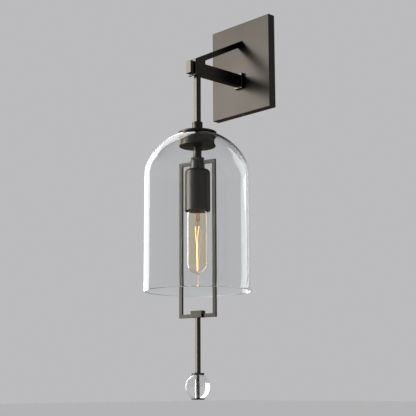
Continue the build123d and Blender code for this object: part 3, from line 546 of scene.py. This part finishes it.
def collar(name, node, body, radius, chamfer, grooves=()):
    """A drilled round piece with slanted edges. Each groove has its level, depth and half width."""
    top, bottom = top_and_bottom(node)
    rings = [(bore, bottom), (radius - chamfer, bottom), (radius, bottom + chamfer)]
    for groove in grooves:
        rings += ring_groove(radius, *groove)
    rings += [(radius, top - chamfer), (radius - chamfer, top), (bore, top), (bore, bottom)]
    piece = turned(name, rings, smooth_angle=30)
    finish_piece(piece, body, node, bronze_round)


coupler_radius = 8.35 * mm
top, bottom = top_and_bottom("coupler")
low_groove = (bottom + 2.2 * mm, 0.4 * mm, 0.35 * mm)
high_groove = (top - 3.0 * mm, 0.5 * mm, 0.45 * mm)
collar("turned_coupler", "coupler", "fixture", coupler_radius, edge, (low_groove, high_groove))

# %% Cap
cap_radius = 30.7 * mm
cap_edge = 1.1 * mm
top, bottom = top_and_bottom("cap")
cap_rings = [(bore, bottom), (cap_radius - edge, bottom)]
cap_rings += arc(cap_radius - edge, bottom + edge, edge, -90, 0, 4)[1:]
cap_rings += arc(cap_radius - cap_edge, top - cap_edge, cap_edge, 0, 90, 6)
cap_rings += [(bore, top), (bore, bottom)]
cap = turned("turned_cap", cap_rings, sides=128)
finish_piece(cap, "fixture", "cap", bronze_round)

# %% [markdown]
# The drum is two pieces. The clamp ring has a spigot that centres it in the
# glass's hole. The nut under it is hollow from above, round a boss for the
# thread, and its lip at the bottom is what fingers turn.

# %% Clamp ring
drum_radius = 27.25 * mm
groove_depth = 0.45 * mm
groove_half = 0.4 * mm
spigot_radius = 20.7 * mm
spigot_height = 3.0 * mm
top, bottom = top_and_bottom("clamp_ring")
drum_top = top - spigot_height
clamp_rings = [(bore, bottom), (drum_radius - edge, bottom), (drum_radius, bottom + edge)]
for rise in (1.7 * mm, 3.3 * mm):
    clamp_rings += ring_groove(drum_radius, bottom + rise, groove_depth, groove_half)
clamp_rings += [(drum_radius, drum_top), (spigot_radius, drum_top), (spigot_radius, top),
                (bore, top), (bore, bottom)]
clamp = turned("turned_clamp_ring", clamp_rings, sides=128, smooth_angle=30)
finish_piece(clamp, "fixture", "clamp_ring", bronze_round)

# %% Shade nut
lip_radius = 29.0 * mm
lip_round = 0.7 * mm
lip_height = 3.0 * mm
nut_wall = 3.0 * mm
boss_radius = 8.0 * mm
top, bottom = top_and_bottom("shade_nut")
lip_top = bottom + lip_height
nut_rings = [(bore, bottom), (lip_radius - lip_round, bottom)]
nut_rings += arc(lip_radius - lip_round, bottom + lip_round, lip_round, -90, 0, 4)[1:]
nut_rings += arc(lip_radius - lip_round, lip_top - lip_round, lip_round, 0, 90, 4)
nut_rings += [(drum_radius, lip_top)]
for rise in (1.5 * mm, 3.4 * mm, 5.3 * mm):
    nut_rings += ring_groove(drum_radius, lip_top + rise, groove_depth, groove_half)
nut_rings += [(drum_radius, top - edge), (drum_radius - edge, top), (drum_radius - nut_wall, top),
              (drum_radius - nut_wall, bottom + nut_wall), (boss_radius, bottom + nut_wall),
              (boss_radius, top), (bore, top), (bore, bottom)]
shade_nut = turned("turned_shade_nut", nut_rings, sides=128, smooth_angle=30)
finish_piece(shade_nut, "shade_nut", "shade_nut", bronze_round)

# %% [markdown]
# Below the drum a plain sleeve covers the threaded tube. The hub carries the
# frame, and the socket cup hangs under it: a deep drawn steel cup, so its
# shoulder is one soft round, and its mouth is a thin rolled edge.

# %% Sleeve and hub
sleeve_radius = 6.5 * mm
sleeve_edge = 0.3 * mm
hub_radius = 11.35 * mm
collar("turned_sleeve", "sleeve", "fixture", sleeve_radius, sleeve_edge)
collar("turned_hub", "hub", "frame", hub_radius, edge)

# %% Socket cup
cup_radius = 20.0 * mm
cup_wall = 1.5 * mm
shoulder = 6.0 * mm
lip = 0.75 * mm
top, bottom = top_and_bottom("socket_cup")
straight_parts = (0.3, 0.5, 0.7, 0.9)
straight_levels = [top - (top - bottom) * part for part in straight_parts]
cup_rings = [(bore, top)]
cup_rings += arc(cup_radius - shoulder, top - shoulder, shoulder, 90, 0, 12)
cup_rings += [(cup_radius, level) for level in straight_levels]
cup_rings += arc(cup_radius - lip, bottom + lip, lip, 0, -180, 6)
cup_rings += [(cup_radius - cup_wall, level) for level in reversed(straight_levels)]
cup_rings += arc(cup_radius - shoulder, top - shoulder, shoulder - cup_wall, 0, 90, 8)
cup_rings += [(bore, top - cup_wall), (bore, top)]
cup = turned("drawn_socket_cup", cup_rings, sides=128)
finish_piece(cup, "fixture", "socket_cup", bronze_round)

# %% [markdown]
# The lamp is a tubular filament lamp. Its glass is drawn in to a neck that
# goes into the screw cap, and its end is one round. Here the outer skin is
# turned first, closed at the tip, and the wall is then thickened inwards.

# %% Lamp glass
lamp_wall = 0.9 * mm
neck_radius = 12.4 * mm
neck_length = 17.1 * mm
top, bottom = top_and_bottom("lamp_glass")
glass_low, glass_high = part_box("lamp_glass")
tube_radius = (glass_high.x - glass_low.x) / 2
neck_below_shell = 1.0 * mm
neck_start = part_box("lamp_shell")[0].z - neck_below_shell
tube_top = neck_start - neck_length
tube_end = bottom + tube_radius
lamp_rings = [(neck_radius, top), (neck_radius, neck_start)]
neck_steps = 12
for step in range(1, neck_steps + 1):
    part = step / neck_steps
    swell = (1 - cos(pi * part)) / 2
    lamp_rings.append((neck_radius + (tube_radius - neck_radius) * swell, neck_start - neck_length * part))
lamp_rings += [(tube_radius, tube_top + (tube_end - tube_top) * step / 5) for step in range(1, 6)]
lamp_rings += arc(0, tube_end, tube_radius, 0, -89.5, 18)[1:]
lamp_skin = turned("lamp_bulb", lamp_rings, sides=128, closed_end=True)
thickness = lamp_skin.modifiers.new("wall", "SOLIDIFY")
thickness.thickness = lamp_wall
thickness.offset = -1
bpy.ops.object.modifier_apply(modifier="wall")
bpy.ops.object.shade_smooth_by_angle(angle=radians(40))
finish_piece(lamp_skin, "lamp", "lamp_glass", amber_glass)
print("lamp glass", round(tube_radius * 2000, 1), "mm across")

# %% [markdown]
# All wires in the lamp are made the same way. A curve with a small round
# section follows a few guide points and becomes a mesh at the end. Wires
# that belong together are joined into one piece.


# %% Wire helper
def wire(name, points, radius):
    """A round wire along a smooth curve with (x, y, z) guide points."""
    line = bpy.data.curves.new(name, "CURVE")
    line.dimensions = "3D"
    spline = line.splines.new("NURBS")
    spline.points.add(len(points) - 1)
    for guide, point in zip(spline.points, points):
        guide.co = (*point, 1)
    spline.order_u = 3
    spline.use_endpoint_u = True
    spline.resolution_u = 6
    line.bevel_depth = radius
    line.bevel_resolution = 2
    line.use_fill_caps = True
    piece = bpy.data.objects.new(name, line)
    bpy.context.scene.collection.objects.link(piece)
    pick(piece)
    bpy.ops.object.convert(target="MESH")
    settle(bpy.context.object, 60)
    return bpy.context.object


def joined(name, pieces):
    pick(*pieces)
    bpy.ops.object.join()
    bpy.context.object.name = name
    print(name, len(pieces), "wires")
    return bpy.context.object


# %% [markdown]
# The filament hangs from the two lead wires. It isn't straight: heat has let
# it sag into slow waves. The strands stand apart at the top, come together
# along the glass rod and turn round below it.

# %% Filament
lead_top, lead_level = top_and_bottom("lead_wires")
# Each guide: half the space between the strands, their shift to the side, how
# far they hang in front of the glass rod, and the drop below the lead wires.
guides = [(4.2, -0.6, 0.0, -0.05), (4.0, -0.9, 0.2, 1.5), (3.6, -1.2, 0.4, 4.0), (3.1, -1.2, 0.8, 9.0),
          (2.4, -0.9, 1.2, 15.0), (1.6, -0.3, 1.5, 21.0), (0.9, 0.3, 1.6, 27.0), (0.6, 0.3, 1.6, 34.0),
          (0.6, -0.2, 1.6, 41.0), (0.6, 0.2, 1.6, 48.0), (0.7, 0.8, 1.6, 55.0), (0.6, 0.6, 1.6, 62.0),
          (0.5, 0.7, 1.5, 67.5), (0.3, 0.8, 1.4, 69.5)]


def strand(side):
    return [(axis_x + (side * half + shift) * mm, axis_y - front * mm, lead_level - drop * mm)
            for half, shift, front, drop in guides]


filament = wire("filament_wire", strand(-1) + strand(1)[::-1], 0.42 * mm)
finish_piece(filament, "lamp", "filament", glow_material)
print("filament", len(filament.data.polygons), "faces")

# %% [markdown]
# The lead wires come out of the glass stem's sides, bend down at once and run
# to the filament's ends, where they are crimped on. They are thinner here than
# in the solid, because they hardly show in the photograph.

# %% Lead wires
stem_surface = 3.45 * mm
bend_out = 4.6 * mm
hang_out = 4.7 * mm
leads = []
for side in (1, -1):
    foot = Vector(strand(side)[0])
    route = [(axis_x + side * stem_surface, axis_y, lead_top - 0.4 * mm),
             (axis_x + side * bend_out, axis_y, lead_top - 0.8 * mm),
             (axis_x + side * hang_out, axis_y, (lead_top + foot.z) / 2), foot]
    leads.append(wire("lead_wire", route, 0.2 * mm))
finish_piece(joined("leads", leads), "lamp", "lead_wires", copper)

# %% [markdown]
# Three pairs of fine copper hooks grow out of the glass rod and hold the
# strands. A hook is one short wire, and all six are joined into one piece.

# %% Filament hooks
rod_surface = 0.85
hook_drops = (18.0, 37.0, 56.0)
hook_reaches = (3.0, 1.7, 2.2)
hooks = []
for drop, reach in zip(hook_drops, hook_reaches):
    # Each guide of a hook: how far out from the rod's middle, and how far in front.
    hook_guides = [(rod_surface, 0.0), (reach, 0.4), (reach + 0.3, 1.6),
                   (reach - 0.4, 2.3), (reach - 1.0, 2.2)]
    for side in (1, -1):
        route = [(axis_x + side * out * mm, axis_y - front * mm, lead_level - drop * mm)
                 for out, front in hook_guides]
        hooks.append(wire("filament_hook", route, 0.16 * mm))
finish_piece(joined("filament_hooks", hooks), "lamp", "filament_supports", copper)

# %% [markdown]
# The crystal ball is cut flat above and below and drilled through. Its faces
# have to be smooth for the glass to act as a lens, so it is turned again too.

# %% Crystal ball
bore_radius = 2.8 * mm
top, bottom = top_and_bottom("crystal_ball")
ball_radius = 19.7 * mm
ball_middle = (top + bottom) / 2
flat_angle = degrees(asin((top - ball_middle) / ball_radius))
ball_rings = [(bore_radius, bottom)] + arc(0, ball_middle, ball_radius, -flat_angle, flat_angle, 40)
ball_rings += [(bore_radius, top), (bore_radius, bottom)]
ball = turned("cut_crystal_ball", ball_rings, sides=160)
finish_piece(ball, "ball", "crystal_ball", crystal)
print("ball", round(ball_radius * 2000, 1), "mm across")

# %% [markdown]
# The floor is a pale, plain sheet of paper far below. It is see-through from
# its underside, so that the lamp can be looked at from below as well.

# %% Floor
floor_level = -0.80
bpy.ops.object.select_all(action="DESELECT")
bpy.ops.mesh.primitive_plane_add(size=30, location=(0, 0, floor_level))
floor = bpy.context.object
floor.name = "floor"
paper = Finish("floor_paper")
paper_face = paper.node("ShaderNodeBsdfDiffuse", None, {"Color": (0.80, 0.80, 0.81, 1)})
clear = paper.node("ShaderNodeBsdfTransparent")
underside = paper.node("ShaderNodeNewGeometry", out="Backfacing")
mixed = paper.node("ShaderNodeMixShader", None, {0: underside, 1: paper_face, 2: clear})
floor.data.materials.append(paper.covered(mixed))
print("floor at", floor_level)

# %% [markdown]
# The world is a room whose far wall is pale and whose near wall and ceiling
# are darker, so that metal and glass have something to mirror. What is seen
# directly, or through glass without a reflection, is the plain pale wall.

# %% World
pale_wall = (0.50, 0.50, 0.51)
dark_wall = (0.17, 0.17, 0.175)
pale_direction = (-0.73, 0.68, 0.0)
fully_pale = 0.75
ceiling_starts, ceiling_full = 0.30, 0.70
ceiling_shade = 0.15

world = bpy.data.worlds.new("studio")
bpy.context.scene.world = world
world.use_nodes = True
background = world.node_tree.nodes["Background"]
background.inputs["Strength"].default_value = 1.0
studio = Kit(world.node_tree)
direction = studio.node("ShaderNodeTexCoord", out="Generated")
towards_pale = studio.node("ShaderNodeVectorMath", {"operation": "DOT_PRODUCT"},
                           {0: direction, 1: pale_direction}, out="Value")
paleness = studio.node("ShaderNodeMapRange", None,
                       {"Value": towards_pale, "From Min": -1.0, "To Max": 1 / fully_pale}, out="Result")
walls = studio.between(dark_wall, pale_wall, paleness)
upwards = studio.node("ShaderNodeSeparateXYZ", None, {0: direction}, out="Z")
ceiling = studio.node("ShaderNodeMapRange", {"interpolation_type": "SMOOTHSTEP"},
                      {"Value": upwards, "From Min": ceiling_starts, "From Max": ceiling_full,
                       "To Min": 1.0, "To Max": ceiling_shade}, out="Result")
room = studio.node("ShaderNodeVectorMath", {"operation": "SCALE"}, {0: walls, "Scale": ceiling})
unreflected = studio.ray("Glossy Depth").math("LESS_THAN", 0.5)
seen_directly = unreflected * studio.ray("Is Transmission Ray") + studio.ray("Is Camera Ray")
studio.feed(studio.between(room, pale_wall, seen_directly), background, "Color")
print("world made")

# %% [markdown]
# Soft boxes give the light, as in a photographer's studio. Each one hangs at
# an azimuth and elevation seen from the lamp and faces it. None is seen by
# the camera. Where a box would be seen straight through both walls of the
# dome, it goes dark, because it would fill the glass with white.


# %% Soft box helper
boxes_aim = Vector((axis_x, axis_y, -0.25))


def soft_box(name, azimuth, elevation, distance, width, height, brightness, roll=0):
    """Angles are in degrees. A mirror would show a brightness of 1 as white."""
    a, e = radians(azimuth), radians(elevation)
    data = bpy.data.lights.new(name, "AREA")
    data.shape = "RECTANGLE"
    data.size = width
    data.size_y = height
    data.energy = brightness * pi * width * height
    data.use_nodes = True
    lamp = Kit(data.node_tree)
    behind_dome = lamp.ray("Transmission Depth").math("GREATER_THAN", 2.5)
    straight_on = lamp.ray("Glossy Depth").math("LESS_THAN", 0.5)
    lamp.feed(1 - behind_dome * straight_on, data.node_tree.nodes["Emission"], "Strength")
    box = bpy.data.objects.new(name, data)
    bpy.context.scene.collection.objects.link(box)
    towards = Vector((sin(a) * cos(e), -cos(a) * cos(e), sin(e)))
    box.location = boxes_aim + towards * distance
    box.rotation_euler = towards.to_track_quat("Z", "Y").to_euler()
    box.rotation_euler.rotate_axis("Z", radians(roll))
    box.visible_camera = False
    return box


def spare(box, *pieces):
    """Keep a box's light off these pieces."""
    spared = bpy.data.collections.new("kept_from_" + box.name)
    for piece in pieces:
        spared.objects.link(piece)
    box.light_linking.receiver_collection = spared
    for link in spared.collection_objects:
        link.light_linking.link_state = "EXCLUDE"


# %% [markdown]
# The side box draws the long white line down the left of the glass, and the
# shoulder box, tilted after the curve, leads it on to the crown. The key box
# and the narrow edge box, at the front left, light the metal and draw a fine
# line on everything round. The fill box is a weak one for the frame's front.
# The front boxes would lie on the glass as a grey veil, as they would in a
# studio without a flag, so they are kept off it.

# %% Soft boxes
side_box = soft_box("side_box", -91, 6, 1.3, 0.74, 1.7, 3.2)
shoulder_box = soft_box("shoulder_box", -99, 38, 1.3, 0.66, 1.3, 2.8, roll=20)
key_box = soft_box("key_box", -42, 10, 1.2, 0.9, 1.3, 4.4)
edge_box = soft_box("edge_box", -50, 10, 1.2, 0.32, 1.3, 8.0)
fill_box = soft_box("fill_box", -8, 12, 1.3, 0.9, 1.3, 0.5)

all_glass = (dome, lamp_skin, ball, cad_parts["lamp_mount"])
spare(key_box, *all_glass, floor)
spare(fill_box, *all_glass, floor)
spare(edge_box, *all_glass, floor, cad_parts["backplate"])
spare(side_box, floor)
spare(shoulder_box, floor)
print("soft boxes", 5)

# %% [markdown]
# The floor has a light of its own, so that it's as pale as the backdrop from
# every side. It comes from above, past the fixture, which keeps its shadow.

# %% Light for the floor
floor_light = bpy.data.lights.new("floor_light", "SUN")
floor_light.energy = 1.35
floor_light.angle = radians(40)
floor_sun = bpy.data.objects.new("floor_light", floor_light)
bpy.context.scene.collection.objects.link(floor_sun)
lit = bpy.data.collections.new("lit_by_floor_light")
lit.objects.link(floor)
floor_sun.light_linking.receiver_collection = lit
bpy.context.scene.view_settings.view_transform = "Standard"
